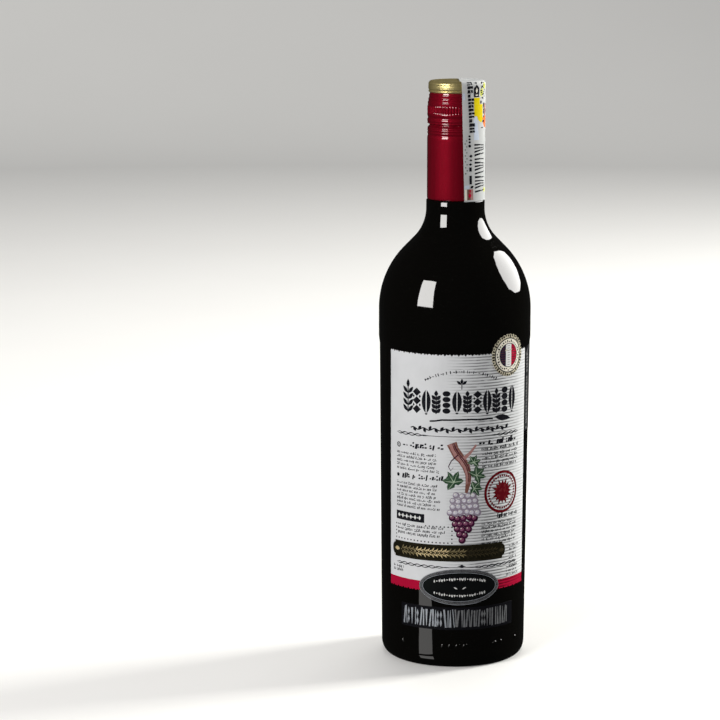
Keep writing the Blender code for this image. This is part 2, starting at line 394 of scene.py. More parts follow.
def turned(name, profile, azimuths, finish, relief=None, loop=False, sharp=40.0):
    shape = bmesh.new()
    rings = []
    for radius, height in profile:
        if radius < 0.001:
            rings.append([vertAt(shape, (0.0, 0.0, height))])
            continue
        ring = []
        for azimuth in azimuths:
            lift = relief(radius, height, azimuth) if relief else 0.0
            ring.append(vertAt(shape, polar(radius + lift, azimuth, height)))
        rings.append(ring)
    for lower, upper in pairs(rings + rings[:1] if loop else rings):
        joinRings(shape, lower, upper)
    return finished(name, shape, finish, sharp)


# The glass bottle

bottleShape = dict(
    bearingInner=29.5, bearingOuter=33.0, puntDepth=14.0, heelHeight=6.5,
    baseRadius=36.92, taper=0.0086, panelTop=162.0, panelStep=5.0,
    shoulderStart=180.6, shoulderArc=45.0, shoulderSlope=44.4, neckArc=21.3, neckRadius=14.85,
    collarRadius=13.85, collarTop=270.8, finishRadius=12.6, finishStart=273.4, finishTop=295.0,
    steps=224, seams=(-4.8, 175.2), seamWidth=0.7, seamHeight=0.06,
    seamSteps=(-0.9, -0.6, -0.3, 0.001, 0.3, 0.6, 0.9), seamTop=232.0,
)


def wallRadius(height):
    panel = bottleShape["baseRadius"] + bottleShape["taper"] * height
    rise = min(max((height - bottleShape["panelTop"]) / bottleShape["panelStep"], 0.0), 1.0)
    return panel + (ringRadius - panel) * rise * rise * (3 - 2 * rise)


def bottleProfile():
    s = bottleShape
    dome = (s["bearingInner"] ** 2 + s["puntDepth"] ** 2) / (2 * s["puntDepth"])
    lean = asin(s["bearingInner"] / dome)
    points = arc((0.0, s["puntDepth"] - dome), dome, pi / 2, pi / 2 - lean, 16)
    points[0] = (0.0, s["puntDepth"])
    reach = wallRadius(s["heelHeight"]) - s["bearingOuter"]
    for turn in spread(0, pi / 2, 12):
        points.append((s["bearingOuter"] + reach * sin(turn), s["heelHeight"] * (1 - cos(turn))))
    levels = [*range(8, int(s["panelTop"]), 11), *spread(s["panelTop"], s["panelTop"] + s["panelStep"], 10)]
    points += [(wallRadius(z), z) for z in levels]
    points.append((ringRadius, s["panelTop"] + s["panelStep"] + 6.0))
    slope = radians(s["shoulderSlope"])
    points += arc((ringRadius - s["shoulderArc"], s["shoulderStart"]), s["shoulderArc"], 0.0, slope, 26)
    drop = s["neckArc"] * (1 - cos(slope))
    run = (points[-1][0] - s["neckRadius"] - drop) / sin(slope)
    neckStart = points[-1][1] + run * cos(slope) + s["neckArc"] * sin(slope)
    points += arc((s["neckRadius"] + s["neckArc"], neckStart), s["neckArc"], pi + slope, pi, 20)
    points += [
        (s["neckRadius"], skirtBottom - 1.0), (s["neckRadius"] - 0.15, skirtBottom - 0.6),
        (s["neckRadius"] - 0.5, skirtBottom - 0.35), (s["collarRadius"], skirtBottom - 0.2),
        (s["collarRadius"], s["collarTop"]), (s["finishRadius"], s["finishStart"]),
        (s["finishRadius"], s["finishTop"]), (0.0, s["finishTop"]),
    ]
    return points


def seamRelief(radius, height, azimuth):
    # the two upright lines that the halves of the mould leave
    if not bottleShape["heelHeight"] < height < bottleShape["seamTop"]:
        return 0.0
    lift = 0.0
    for seam in bottleShape["seams"]:
        away = abs((azimuth - seam + 180.0) % 360.0 - 180.0) * pi / 180 * radius
        lift += bottleShape["seamHeight"] * max(0.0, 1 - away / bottleShape["seamWidth"]) ** 2
    return lift


def makeBottle():
    s = bottleShape
    azimuths = evenAzimuths(s["steps"], [seam + step for seam in s["seams"] for step in s["seamSteps"]])
    piece = turned("glassBottle", bottleProfile(), azimuths, glass, seamRelief)
    standFor(piece, "bottle")


heelMarks = dict(
    height=12.0, radius=1.2, lift=0.55, sunk=0.03, shares=(1.0, 0.85, 0.6, 0.3),
    azimuths=(-51.0, -14.5, -8.8, -3.0, 3.0, 28.6, 34.5, 52.6),
)


def makeHeelMarks():
    # small raised points of glass round the heel, as moulds leave them
    h = heelMarks
    shape = bmesh.new()
    wall = wallRadius(h["height"])
    for azimuth in h["azimuths"]:
        rings = []
        for share in h["shares"]:
            out = wall + h["lift"] * sqrt(1 - share * share) - h["sunk"]
            circle = [around((0.0, h["height"]), h["radius"] * share, turn) for turn in evenTurns(14)]
            rings.append([vertAt(shape, polar(out, azimuth + degrees(x / wall), y)) for x, y in circle])
        rings.append([vertAt(shape, polar(wall + h["lift"], azimuth, h["height"]))])
        shape.faces.new(rings[0][::-1])
        for lower, upper in pairs(rings):
            joinRings(shape, lower, upper)
    finished("heelMarks", shape, glass)


makeBottle()
makeHeelMarks()
print("glass turned")


# The screw cap

capShape = dict(
    steps=360, ribs=60, ribDepth=0.34, ribBottom=279.9, ribTop=284.3, ribFade=0.7,
    tearHeight=274.3, tearHalf=0.35, tearDepth=0.3, bridges=8, bridgeShare=0.22,
    innerRadius=14.15, innerNeck=12.95, join=290.62, goldThickness=0.9,
)


def goldOutline():
    drops = [
        (0.0, 0.12), (8.0, 0.12), (10.6, 0.1), (11.5, 0.03), (12.3, 0.0), (12.95, 0.09), (13.5, 0.5),
        (13.85, 1.05), (13.97, 1.6), (13.9, 1.95), (13.9, 2.1), (14.0, 2.4), (14.0, 3.4), (13.95, 4.1),
        (13.68, 4.5), (13.66, 4.7), (13.82, 4.9), (13.97, 5.2), (13.85, 5.55), (13.45, 5.75),
    ]
    return [(radius, capTop - drop) for radius, drop in drops] + [(13.25, capShape["join"])]


def redOutline():
    beads = [
        (13.2, 290.55), (13.28, 290.05), (13.34, 289.85), (13.58, 289.55), (13.64, 289.3), (13.61, 288.7),
        (13.62, 288.05), (13.68, 287.85), (13.92, 287.55), (13.98, 287.3), (13.95, 286.8), (13.95, 286.35),
        (14.0, 286.15), (14.2, 285.85), (14.26, 285.6), (14.22, 285.0), (14.22, 284.25), (14.27, 284.05),
        (14.42, 283.75), (14.47, 283.45), (14.47, 282.4), (14.46, 281.4), (14.42, 280.7), (14.43, 280.4),
        (14.5, 279.9), (14.5, 279.5), (14.42, 279.0), (14.2, 278.4), (14.15, 278.0), (14.2, 277.65),
        (14.42, 277.25), (14.5, 276.85), (14.46, 276.3), (14.31, 275.85), (14.31, 275.65), (14.42, 275.4),
        (14.4, 275.2), (13.95, 274.95), (13.52, 274.7), (13.45, 274.3), (13.52, 273.9), (13.95, 273.5),
        (14.3, 273.15), (14.37, 272.8), (14.28, 272.4), (14.29, 272.2), (14.41, 271.95), (14.41, 271.7),
        (14.3, 271.35), (14.22, 271.05), (14.25, 270.85), (14.42, 270.6), (14.44, 270.35), (14.3, 269.9),
        (14.18, 269.5), (14.17, 269.2), (14.25, 268.9), (14.42, 268.5), (14.5, 268.0),
    ]
    skirt = [(14.5, 266.5), (14.5, 260.0), (14.5, 250.0), (14.5, 242.0), (14.5, 238.2), (14.47, 237.6)]
    return smoothThrough(beads, 3) + skirt + [(14.36, skirtBottom + 0.1), (14.25, skirtBottom)]


def capRelief(radius, height, azimuth):
    lift = 0.0
    if radius > 14.15 and capShape["ribBottom"] < height < capShape["ribTop"]:
        edge = min(height - capShape["ribBottom"], capShape["ribTop"] - height) / capShape["ribFade"]
        wave = 0.5 - 0.5 * cos(radians(azimuth) * capShape["ribs"])
        lift -= capShape["ribDepth"] * min(edge, 1.0) * wave
    across = abs(height - capShape["tearHeight"]) / capShape["tearHalf"]
    if radius > 13.3 and across < 1.0:
        part = azimuth / 360.0 * capShape["bridges"] % 1.0
        if part > capShape["bridgeShare"]:
            lift -= capShape["tearDepth"] * (1 - across * across)
    return lift


def makeCap():
    c = capShape
    azimuths = evenAzimuths(c["steps"])
    inner = [(c["innerRadius"], skirtBottom), (c["innerRadius"], bottleShape["collarTop"] + 0.4),
             (c["innerNeck"], bottleShape["finishStart"] + 0.2), (c["innerNeck"], c["join"])]
    red = turned("capSkirtRed", redOutline() + inner, azimuths, redLacquer, capRelief, loop=True, sharp=60.0)
    under = capTop - c["goldThickness"]
    gold = smoothThrough(goldOutline(), 3)
    gold += [(c["innerNeck"], c["join"]), (c["innerNeck"], under), (0.0, under)]
    top = turned("capTopGold", gold, azimuths, goldLacquer, sharp=60.0)
    standFor(red, "screw_cap")
    standFor(top, "screw_cap")


makeCap()
print("cap turned")


# Paper and print, on places given by side and height in millimetres: side runs along the wall to the right

layers = dict(paper=0.12, stuck=0.03, ink=0.02, overLabel=0.16)
onPaper = layers["stuck"] + layers["paper"] + 0.01
labelBottom = labelLow.z / mm
labelTop = labelHigh.z / mm
labelHalf = 41.7
labelMiddle = -0.7


def onWall(side, height, gap):
    radius = wallRadius(height)
    turn = side / radius
    return (radius + gap) * sin(turn), -(radius + gap) * cos(turn), height


def easeStep(value, low, high):
    share = min(max((value - low) / (high - low), 0.0), 1.0)
    return share * share * (3 - 2 * share)


def onSticker(side, height, gap):
    # lies on the glass, and climbs over the label's edge where it crosses it
    above = easeStep(height, labelBottom - 0.9, labelBottom + 0.7)
    below = easeStep(-height, -labelTop - 0.6, -labelTop + 1.0)
    return onWall(side, height, gap + layers["overLabel"] * above * below)


def thicken(piece, thickness):
    solid = piece.modifiers.new("Thickness", "SOLIDIFY")
    solid.thickness = thickness * mm
    solid.offset = 1.0
    solid.use_even_offset = False
    solid.use_quality_normals = True
    return piece


def gridSheet(name, rows, finish, thickness, node, closed=False):
    # a sheet through rows of points, in place of the CAD node
    shape = bmesh.new()
    for lower, upper in pairs([[vertAt(shape, point) for point in row] for row in rows]):
        count = len(lower)
        for i in range(count if closed else count - 1):
            j = (i + 1) % count
            shape.faces.new((lower[i], lower[j], upper[j], upper[i]))
    bmesh.ops.remove_doubles(shape, verts=shape.verts[:], dist=0.002 * mm)
    standFor(thicken(finished(name, shape, finish, outwards=False), thickness), node)


def anticlockwise(outline):
    area = sum(a[0] * b[1] - b[0] * a[1] for a, b in pairs(outline + outline[:1]))
    return outline if area > 0 else outline[::-1]


def printed(name, outlines, tint, gap=onPaper, slot=None, place=onWall, cell=1.5, cutRows=False):
    # flat outlines, cut into narrow pieces so that they bend with what carries them, then laid on it
    shape = bmesh.new()
    for outline in outlines:
        shape.faces.new([shape.verts.new((*spot, 0.0)) for spot in anticlockwise(outline)])
    bmesh.ops.triangulate(shape, faces=shape.faces[:])
    for axis in (0, 1) if cutRows else (0,):
        values = [vert.co[axis] for vert in shape.verts]
        normal = Vector((1 - axis, axis, 0))
        for i in range(ceil(min(values) / cell), int(max(values) // cell) + 1):
            spot = i * cell * normal
            everything = shape.verts[:] + shape.edges[:] + shape.faces[:]
            bmesh.ops.bisect_plane(shape, geom=everything, plane_co=spot, plane_no=normal, dist=0.0001)
    for vert in shape.verts:
        vert.co = Vector(place(vert.co.x, vert.co.y, gap)) * mm
    piece = thicken(finished(name, shape, inks[tint], outwards=False), layers["ink"])


# Outlines to print with

def bar(left, bottom, right, top, lean=0.0):
    shift = (top - bottom) * lean
    return [(left, bottom), (right, bottom), (right + shift, top), (left + shift, top)]


def oval(side, height, halfWidth, halfHeight, count=20):
    return [around((side, height), (halfWidth, halfHeight), turn) for turn in evenTurns(count)]


def spots(centre, *places):
    # corners given by how far they lie from a centre, and in which direction
    return [around(centre, reach, turn) for reach, turn in places]


def ringOf(centre, outer, inner, count=48):
    turns = pairs(spread(0, tau, count))
    return [spots(centre, (outer, a), (outer, b), (inner, b), (inner, a)) for a, b in turns]


def shifted(points, side, height):
    return [(x + side, y + height) for x, y in points]


def stroke(points, widths):
    left, right = [], []
    for i, (x, y) in enumerate(points):
        before, after = points[max(i - 1, 0)], points[min(i + 1, len(points) - 1)]
        dx, dy = after[0] - before[0], after[1] - before[1]
        share = widths[i] / 2 / (hypot(dx, dy) or 1.0)
        left.append((x - dy * share, y + dx * share))
        right.append((x + dy * share, y - dx * share))
    return [[left[i], right[i], right[i + 1], left[i + 1]] for i in range(len(points) - 1)]


def diamond(side, height, halfWidth, halfHeight):
    return shifted([(-halfWidth, 0), (0, -halfHeight), (halfWidth, 0), (0, halfHeight)], side, height)


def dashes(left, right, base, size, draw, weight, lean=0.2):
    # a run of small blocks in groups, which stands for a line of print
    made, at = [], left
    while at < right - size * 0.4:
        for _ in range(draw.randint(2, 7)):
            width = size * draw.uniform(0.35, 0.75)
            if at + width > right:
                break
            low = base - (size * 0.3 if draw.random() < 0.14 else 0.0)
            high = base + size * (1.35 if draw.random() < 0.2 else 1.0)
            cut = draw.random()
            if cut < 0.45:
                made.append(bar(at, low, at + width * weight, high, lean))
            elif cut < 0.75:
                made.append(bar(at, low, at + width, low + size * 0.42, lean))
                made.append(bar(at, high - size * 0.42, at + width * 0.8, high, lean))
            else:
                made.append(bar(at, low + size * 0.2, at + width * 0.9, low + size * 0.62, lean))
            at += width + size * 0.16
        at += size * draw.uniform(0.55, 0.9)
    return made


def paragraph(left, right, top, rows, pitch, size, seed, ragged=0.12, weight=0.78):
    draw = random.Random(seed)
    made = []
    for row in range(rows):
        end = right - (right - left) * ragged * draw.random()
        made += dashes(left, end, top - row * pitch - size, size, draw, weight)
    return made


def wavyRule(left, right, height, swing, thick, calm, waves=9):
    # two thin lines that cross like a loose twist near the ends and run together in the middle
    made = []
    for side in (1, -1):
        points, widths = [], []
        for share in spread(0, 1, 160):
            away = abs(share - 0.5) * 2
            turn = tau * waves * share
            live = easeStep(away, calm, calm + 0.25) * (1 - 0.5 * easeStep(away, 0.9, 1.0))
            taper = 1 - 0.7 * easeStep(away, 0.93, 1)
            points.append((left + (right - left) * share, height + side * swing * live * sin(turn)))
            widths.append(thick * (0.55 + 0.75 * live * (0.5 + 0.5 * side * cos(turn))) * taper)
        made += stroke(points, widths)
    return made


# The front label

labelShape = dict(toothPitch=1.75, toothHeight=1.15, bandLine=42.0, bandTop=45.3, inset=0.05, rowStep=4.0)


def toothed(side):
    # the cut edge of the label, a row of small pointed teeth
    share = abs(((side - labelMiddle) / labelShape["toothPitch"]) % 1.0 - 0.5) * 2
    return labelShape["inset"] + labelShape["toothHeight"] * share * (0.72 + 0.28 * sin(side * 1.9))


def makeLabel():
    s = labelShape
    columns = round(2 * labelHalf / s["toothPitch"]) * 4
    sides = [labelMiddle + (labelHalf - s["inset"]) * (2 * i / columns - 1) for i in range(columns + 1)]
    levels = [s["bandTop"]]
    while levels[-1] + s["rowStep"] < labelTop - 1.5:
        levels.append(levels[-1] + s["rowStep"])

    def level(height):
        return [onWall(side, height, layers["stuck"]) for side in sides]

    top = [onWall(side, labelTop - toothed(side), layers["stuck"]) for side in sides]
    foot = [onWall(side, labelBottom + toothed(side), layers["stuck"]) for side in sides]
    rows = [level(height) for height in levels] + [top]
    gridSheet("labelSheet", rows, labelPaper, layers["paper"], "front_label")
    band = [foot, level(s["bandLine"]), level(s["bandTop"])]
    gridSheet("labelBand", band, bandPaper, layers["paper"], "front_label")


# A tall frieze of ears, lozenges, split leaves and beads in turn

friezeShape = dict(left=-32.0, right=30.9, units=12)


def friezeTop(side):
    # high at the left end, dipping in the middle, level at the right
    return 144.4 + 4.6 * (1 - easeStep(side, -30.0, -22.0)) + 0.9 * easeStep(side, 8.0, 26.0)


def friezeFoot(side):
    return 132.0 + 1.0 * exp(-(((side + 1.0) / 13.0) ** 2))


leafForm = ((0, 0), (0.2, 0.62), (0.45, 1.0), (0.75, 0.68), (1, 0), (0.75, -0.68), (0.45, -1.0), (0.2, -0.62))
sprigForm = ((0, 0), (0.3, 0.8), (0.55, 1.0), (0.8, 0.6), (1, 0), (0.8, -0.6), (0.55, -1.0), (0.3, -0.8))


def leafOutline(base, lean, length, half, form=leafForm):
    # a pointed leaf from its base, leaning so many degrees to the right of upright
    across, up = sin(radians(lean)), cos(radians(lean))
    return [(base[0] + length * a * across + half * b * up, base[1] + length * a * up - half * b * across)
            for a, b in form]


def ear(side, low, high):
    # an ear of wheat: pairs of grains up a stalk, with one at the top
    step = (high - low) / 5.4
    made = [bar(side - 0.3, low, side + 0.3, high - step)]
    for i in range(4):
        base = low + 0.5 + step * i
        made += [leafOutline((side + hand * 0.25, base), hand * 40, step * 1.45, 1.0) for hand in (-1, 1)]
    made.append(leafOutline((side, high - step * 1.35), 0, step * 1.4, 1.05))
    return made


def lozenges(side, low, high):
    half = (high - low) / 6
    made = [diamond(side, low + half * (2 * i + 1), 2.35, half * 0.98) for i in range(3)]
    for hand in (-1, 1):
        made += [diamond(side + hand * 1.75, low + half * 2 * i, 0.6, half * 0.4) for i in (1, 2)]
    return made


def bigLeaf(side, low, high):
    # a leaf split along its rib, on a small foot
    made = []
    for hand in (-1, 1):
        outline = [(side + hand * 0.28, low + 0.4)]
        for share in spread(0, 1, 8)[1:8]:
            reach = 0.28 + 2.15 * sin(pi * share) ** 0.7
            outline.append((side + hand * reach, low + 0.4 + (high - low - 0.4) * share))
        made.append(outline + [(side + hand * 0.28, high)])
    return made + [diamond(side, low, 0.9, 0.5)]


def beads(side, low, high):
    step = (high - low) / 4
    return [oval(side, low + step * (i + 0.5), 2.0, step * 0.48, 18) for i in range(4)]


def makeFrieze():
    f = friezeShape
    made = []
    pitch = (f["right"] - f["left"]) / f["units"]
    for index in range(f["units"]):
        side = f["left"] + pitch * (index + 0.5)
        draw = (ear, lozenges, bigLeaf, ear, beads, bigLeaf)[index % 6]
        made += draw(side, friezeFoot(side), friezeTop(side))
    return made


def makeFlourish(left, right, height, waves=9):
    # a running vine: a waving stalk with leaves on either side in turn
    def stalk(share, shift=0.0):
        return left + (right - left) * share, height + 0.55 * sin(tau * waves * share) + shift

    points = [stalk(share) for share in spread(0, 1, waves * 12)]
    made = stroke(points, [0.58] * len(points))
    for i in range(waves * 2):
        hand = 1 if i % 2 else -1
        lean = 90 - hand * (48 if i % 4 < 2 else 62)
        made.append(leafOutline(stalk((i + 0.5) / (waves * 2), hand * 0.1), lean, 2.6, 0.82))
    return made


archShape = dict(left=-19.4, right=17.6, middle=-0.8, half=18.8, top=154.2, rise=4.7, seed=5)


def archOfMarks():
    a = archShape
    draw = random.Random(a["seed"])
    made = []
    side = a["left"]
    while side < a["right"]:
        height = a["top"] - a["rise"] * ((side - a["middle"]) / a["half"]) ** 2
        tilt = -2 * a["rise"] * (side - a["middle"]) / a["half"] ** 2
        width = draw.uniform(0.55, 1.0)
        kind = draw.random()
        if kind < 0.8:
            tall = 1.45 if kind < 0.6 else 1.0
            wide = width * 0.55
            lean = tilt * tall
            upright = [(0, 0), (wide, tilt * wide), (wide - lean, tall + tilt * wide), (-lean, tall)]
            made.append(shifted(upright, side, height - 0.7))
        if kind > 0.35:
            made.append(bar(side, height - 0.15 + tilt * 0.3, side + width, height + 0.22 + tilt * 0.3))
        side += width + (0.42 if draw.random() > 0.16 else 1.1)
    return made


def sprig(side, height):
    # the small device under the arch: three leaves on a stalk
    made = [bar(side - 0.22, height - 3.0, side + 0.22, height - 0.4)]
    for lean in (-48, 0, 48):
        base = (side + 0.35 * sin(radians(lean)), height - 0.9 + 0.35 * cos(radians(lean)))
        made.append(leafOutline(base, lean, 3.1, 0.72, sprigForm))
    return made


# small print: left, right, top, rows, pitch, size, seed, how ragged and how heavy
smallPrint = [
    (-28.0, -8.4, 116.2, 1, 2.0, 2.0, 21, 0.0, 1.05), (-37.0, -10.5, 111.3, 5, 2.05, 0.98, 22),
    (-33.3, -9.9, 100.0, 1, 2.0, 1.8, 23, 0.0, 1.0), (-37.0, -10.5, 95.6, 7, 2.0, 0.98, 24),
    (8.2, 33.0, 118.6, 1, 2.0, 2.3, 31, 0.0, 1.25), (9.5, 34.0, 114.9, 1, 2.0, 1.25, 39, 0.0, 0.85),
    (10.0, 35.0, 112.2, 4, 2.15, 1.1, 33), (18.8, 34.0, 79.5, 1, 2.0, 1.7, 34, 0.0, 1.0),
    (10.0, 35.0, 76.0, 6, 2.05, 1.0, 35), (27.5, 36.5, 62.4, 6, 2.15, 1.0, 36, 0.3),
    (-39.5, -31.6, 51.6, 2, 1.9, 1.1, 37, 0.05), (25.5, 35.5, 51.2, 3, 2.0, 0.9, 38, 0.1),
    (-36.2, -8.0, 73.9, 3, 2.1, 1.1, 41),
]


def columnMarks():
    # beside the left column: a ring, diamonds, a bullet and the dark box with the pale marks
    made = ringOf((-35.6, 114.6), 1.35, 0.85, 20) + [diamond(-35.6, 114.6, 0.55, 0.55)]
    made += [diamond(-31.9, 114.9, 1.1, 0.45), diamond(-30.0, 114.9, 0.5, 0.5)]
    return made + [oval(-36.0, 98.9, 0.95, 0.95, 18), bar(-37.2, 75.7, -19.6, 80.2)]


def dottedFrame():
    made = []
    corners = [(-18.8, 74.3), (-5.2, 74.3), (-5.2, 66.0), (-37.3, 66.0), (-37.3, 75.0)]
    for (x0, y0), (x1, y1) in pairs(corners):
        count = round(hypot(x1 - x0, y1 - y0) / 1.95)
        made += [oval(x, y, 0.4, 0.4, 10) for x, y in zip(spread(x0, x1, count)[:-1], spread(y0, y1, count))]
    return made


def stampDrawing():
    # a round stamp: a beaded ring and a sun with many rays
    centre = (22.3, 91.0)
    made = ringOf(centre, 11.0, 9.6, 56)
    made += [oval(*around(centre, 8.4, turn), 0.6, 0.6, 8) for turn in evenTurns(36)]
    for i, turn in enumerate(evenTurns(16)):
        made.append(spots(centre, (4.6, turn - 0.17), (4.6, turn + 0.17), (7.3 if i % 2 else 6.2, turn)))
    return made + [oval(*centre, 4.7, 4.7, 28)]


# The picture in the middle of the label: a vine branch with its leaves and a bunch of grapes

pictureShape = dict(
    seed=8, bunchTop=90.5, bunchBottom=67.5, side=1.2, ripeBelow=80.5, rows=(4, 5, 5, 6, 5, 4, 3, 2, 1),
    spine=[(-5.6, 117.6), (-4.4, 114.6), (-2.6, 111.6), (-0.4, 109.0), (1.7, 105.6), (2.9, 101.4),
           (2.8, 97.0), (1.8, 92.0)],
    fork=[(-0.4, 109.0), (3.4, 112.4), (6.8, 116.6)],
    tendril=[(-2.6, 111.6), (-5.8, 108.6), (-7.2, 105.6), (-6.0, 103.6), (-4.8, 105.2)],
    leaves=[(-4.4, 97.6, 6.4, 30), (7.0, 100.8, 5.6, -50), (5.8, 94.2, 5.0, -95), (5.6, 107.6, 4.2, -20)],
)
leafLobes = [
    (0, 1.0), (13, 0.72), (22, 0.5), (36, 0.72), (52, 0.96), (66, 0.7), (78, 0.5), (94, 0.66), (112, 0.8),
    (130, 0.55), (155, 0.42), (172, 0.22),
]


def vineLeaf(side, height, size, turn):
    lobes = leafLobes + [(360 - angle, reach) for angle, reach in leafLobes[:0:-1]]
    return spots((side, height), *((size * reach, radians(90 + angle + turn)) for angle, reach in lobes))


def leafVeins(side, height, size, turn):
    made = []
    for angle in (0, 52, 112, 308, 248):
        lean = radians(90 + angle + turn)
        vein = spots((side, height), (0.0, lean), (size * 0.45, lean + 0.05), (size * 0.86, lean))
        made += stroke(vein, [0.4, 0.28, 0.08])
    return made


def bunch():
    p = pictureShape
    draw = random.Random(p["seed"])
    berries = []
    for row, count in enumerate(p["rows"]):
        height = p["bunchTop"] - (p["bunchTop"] - p["bunchBottom"]) * row / (len(p["rows"]) - 1)
        for i in range(count):
            side = p["side"] + (i - (count - 1) / 2) * 2.85 + draw.uniform(-0.3, 0.3) - 0.15 * row
            berries.append((side, height + draw.uniform(-0.35, 0.35), draw.uniform(1.68, 1.92)))
    return berries


def makePicture():
    p = pictureShape
    gaps = [onPaper + 0.024 * i for i in range(7)]
    berries = bunch()
    for parity in (0, 1):
        own = berries[parity::2]
        for name, skin, bloom in (("Ripe", "grape", "mauve"), ("Young", "lilac", "paleLilac")):
            kept = [berry for berry in own if (berry[1] < p["ripeBelow"]) == (name == "Ripe")]
            skins = [oval(x, y, r, r, 22) for x, y, r in kept]
            printed(f"print{name}Berries{parity}", skins, skin, gaps[2 + parity])
            blooms = [oval(x - 0.3, y + 0.35, r * 0.62, r * 0.55, 16) for x, y, r in kept]
            printed(f"print{name}Blooms{parity}", blooms, bloom, gaps[4 + parity])
        glints = [oval(x - 0.65, y + 0.75, 0.34, 0.27, 9) for x, y, _ in own]
        printed(f"printGlints{parity}", glints, "cream", gaps[6])
    printed("printWood", stroke(p["spine"], [5.2, 4.6, 5.0, 4.2, 4.0, 3.2, 2.6, 1.4]), "bark", gaps[0])
    upper = p["spine"][:-1]
    light = stroke(shifted(upper, -0.7, -0.5), [1.7, 1.4, 1.9, 1.3, 1.2, 1.0, 0.5])
    printed("printWoodLight", light + stroke(p["fork"], [2.2, 1.5, 0.9]), "rose", gaps[1])
    grain = stroke(shifted(upper, 0.9, 0.3), [0.3, 0.5, 0.35, 0.5, 0.35, 0.3, 0.15])
    grain += stroke(shifted(upper, 0.1, 0.0), [0.12, 0.3, 0.18, 0.35, 0.2, 0.25, 0.1])
    printed("printGrain", grain + stroke(p["tendril"], [0.6, 0.5, 0.42, 0.36, 0.2]), "grape", gaps[2])
    for i, leaf in enumerate(p["leaves"]):
        printed(f"printLeaf{i}", [vineLeaf(*leaf)], "leaf", gaps[1 + i % 3])
        printed(f"printVeins{i}", leafVeins(*leaf), "paleLeaf", gaps[4 + i % 3])


# The dark banner low on the label, with scalloped ends and gold marks

bannerShape = dict(left=-38.2, right=22.6, lobe=2.0)


def bannerEdge(side, upper):
    share = (side - bannerShape["left"]) / (bannerShape["right"] - bannerShape["left"])
    bow = 0.35 * sin(pi * share)
    return (64.4 + 0.5 * share + bow) if upper else (55.9 + 0.25 * share + bow)


def bannerMiddle(side):
    return (bannerEdge(side, 0) + bannerEdge(side, 1)) / 2


def makeBanner():
    b = bannerShape
    base = []
    for x0, x1 in pairs(spread(b["left"], b["right"], 42)):
        base.append([(x, bannerEdge(x, upper)) for x, upper in ((x0, 0), (x1, 0), (x1, 1), (x0, 1))])
    for end, hand in ((b["left"], -1), (b["right"], 1)):
        base.append(arc((end, bannerMiddle(end)), (hand * b["lobe"], 3.1), -pi / 2, pi / 2, 12))
    printed("printBanner", base, "olive")
    bright, goldBesideReflection, faint = [], [], []
    for step in range(-78, 48):
        side = step * 0.5
        faint += [oval(side, bannerEdge(side, upper) + 0.75 - 1.5 * upper, 0.13, 0.13, 6) for upper in (0, 1)]
    side, index = -33.0, 0
    while side < 19.2:
        # a garland: leaves leaning over a bead, above and below the middle
        # painted reflection: the garland's gold is brightest between -25 and -8 mm, where the left light
        # shows in the foil; a darker gold flanks that band and the darkest gold lies right of 2 mm
        target = goldBesideReflection if side < -25.0 else bright if side < -8.0 else goldBesideReflection if side < 2.0 else faint
        length = 2.6 - 0.4 * (index % 2)
        for hand in (-1, 1):
            for turn, start in ((26, 0.0), (60, 0.5)):
                base = (side + start, bannerMiddle(side) + hand * 0.4)
                target.append(leafOutline(base, turn if hand > 0 else 180 - turn, length, 0.33))
        target.append(oval(side - 0.5, bannerMiddle(side), 0.36, 0.36, 10))
        side += 2.2
        index += 1
    for end, target in ((b["left"] + 1.8, bright), (b["right"] - 0.4, faint)):
        target.append(leafOutline((end - 1.9, bannerMiddle(end)), 90, 3.6, 1.1))
    printed("printBannerGold", bright, "gold", onPaper + 0.025)
    printed("printBannerBesideReflection", goldBesideReflection, "goldInkBesideReflection", onPaper + 0.025)
    printed("printBannerFaint", faint, "dimGold", onPaper + 0.025)


def makeLabelPrint():
    dark = archOfMarks() + sprig(-0.8, 148.2) + makeFrieze() + columnMarks() + dottedFrame()
    rule = [(-17.0, 128.2), (-14.0, 128.5), (-10.5, 129.1), (-6.0, 129.15), (-1.0, 129.3), (4.0, 129.4),
            (9.0, 129.0), (13.0, 129.25), (15.8, 129.1)]
    dark += [[(a, p), (c, q), (c, q + 0.82), (a, p + 0.82)] for (a, p), (c, q) in pairs(rule)]
    dark.append(leafOutline((16.8, 130.3), 99, 10.5, 1.7))
    dark += makeFlourish(-27.6, 25.2, 124.4)
    dark += wavyRule(-37.0, 34.0, 121.0, 0.62, 0.5, 0.42) + wavyRule(-37.0, 34.0, 53.2, 0.6, 0.46, 0.12)
    dark += [diamond(-0.1, 53.9, 2.3, 0.55), oval(-0.1, 53.9, 0.9, 0.9, 16)]
    for block in smallPrint:
        dark += paragraph(*block)
    printed("printDark", dark, "dark")
    box = [diamond(-35.2 + 2.6 * i, 78.0, 0.75, 1.15) for i in range(6)]
    box += [oval(-33.9 + 2.6 * i, 78.0, 0.34, 0.34, 8) for i in range(5)]
    printed("printBoxMarks", box, "white", onPaper + 0.025)
    printed("printStamp", stampDrawing(), "stamp")
    makePicture()
    makeBanner()


makeLabel()
makeLabelPrint()
print("front label printed")


# The round seal, half on the label

sealShape = dict(
    centre=(25.5, 161.0), radius=10.85, teeth=30, tooth=0.35, thickness=0.1, seed=61, field=5.85,
    ticks=[(44, 0.45, 0.7, [(9.1, 10.55), (9.5, 10.55), (9.8, 10.55)]),
           (34, 0.4, 0.65, [(6.7, 7.9), (6.7, 7.2), (7.4, 8.0), (6.9, 7.7)])],
    stripes=[("sealNavy", -5.85, -2.05, "navy", None), ("sealPale", -2.05, 1.75, "white", "seal_paper"),
             ("sealRed", 1.75, 5.85, "crimson", None)],
)
onTop = dict(place=onSticker, cutRows=True)


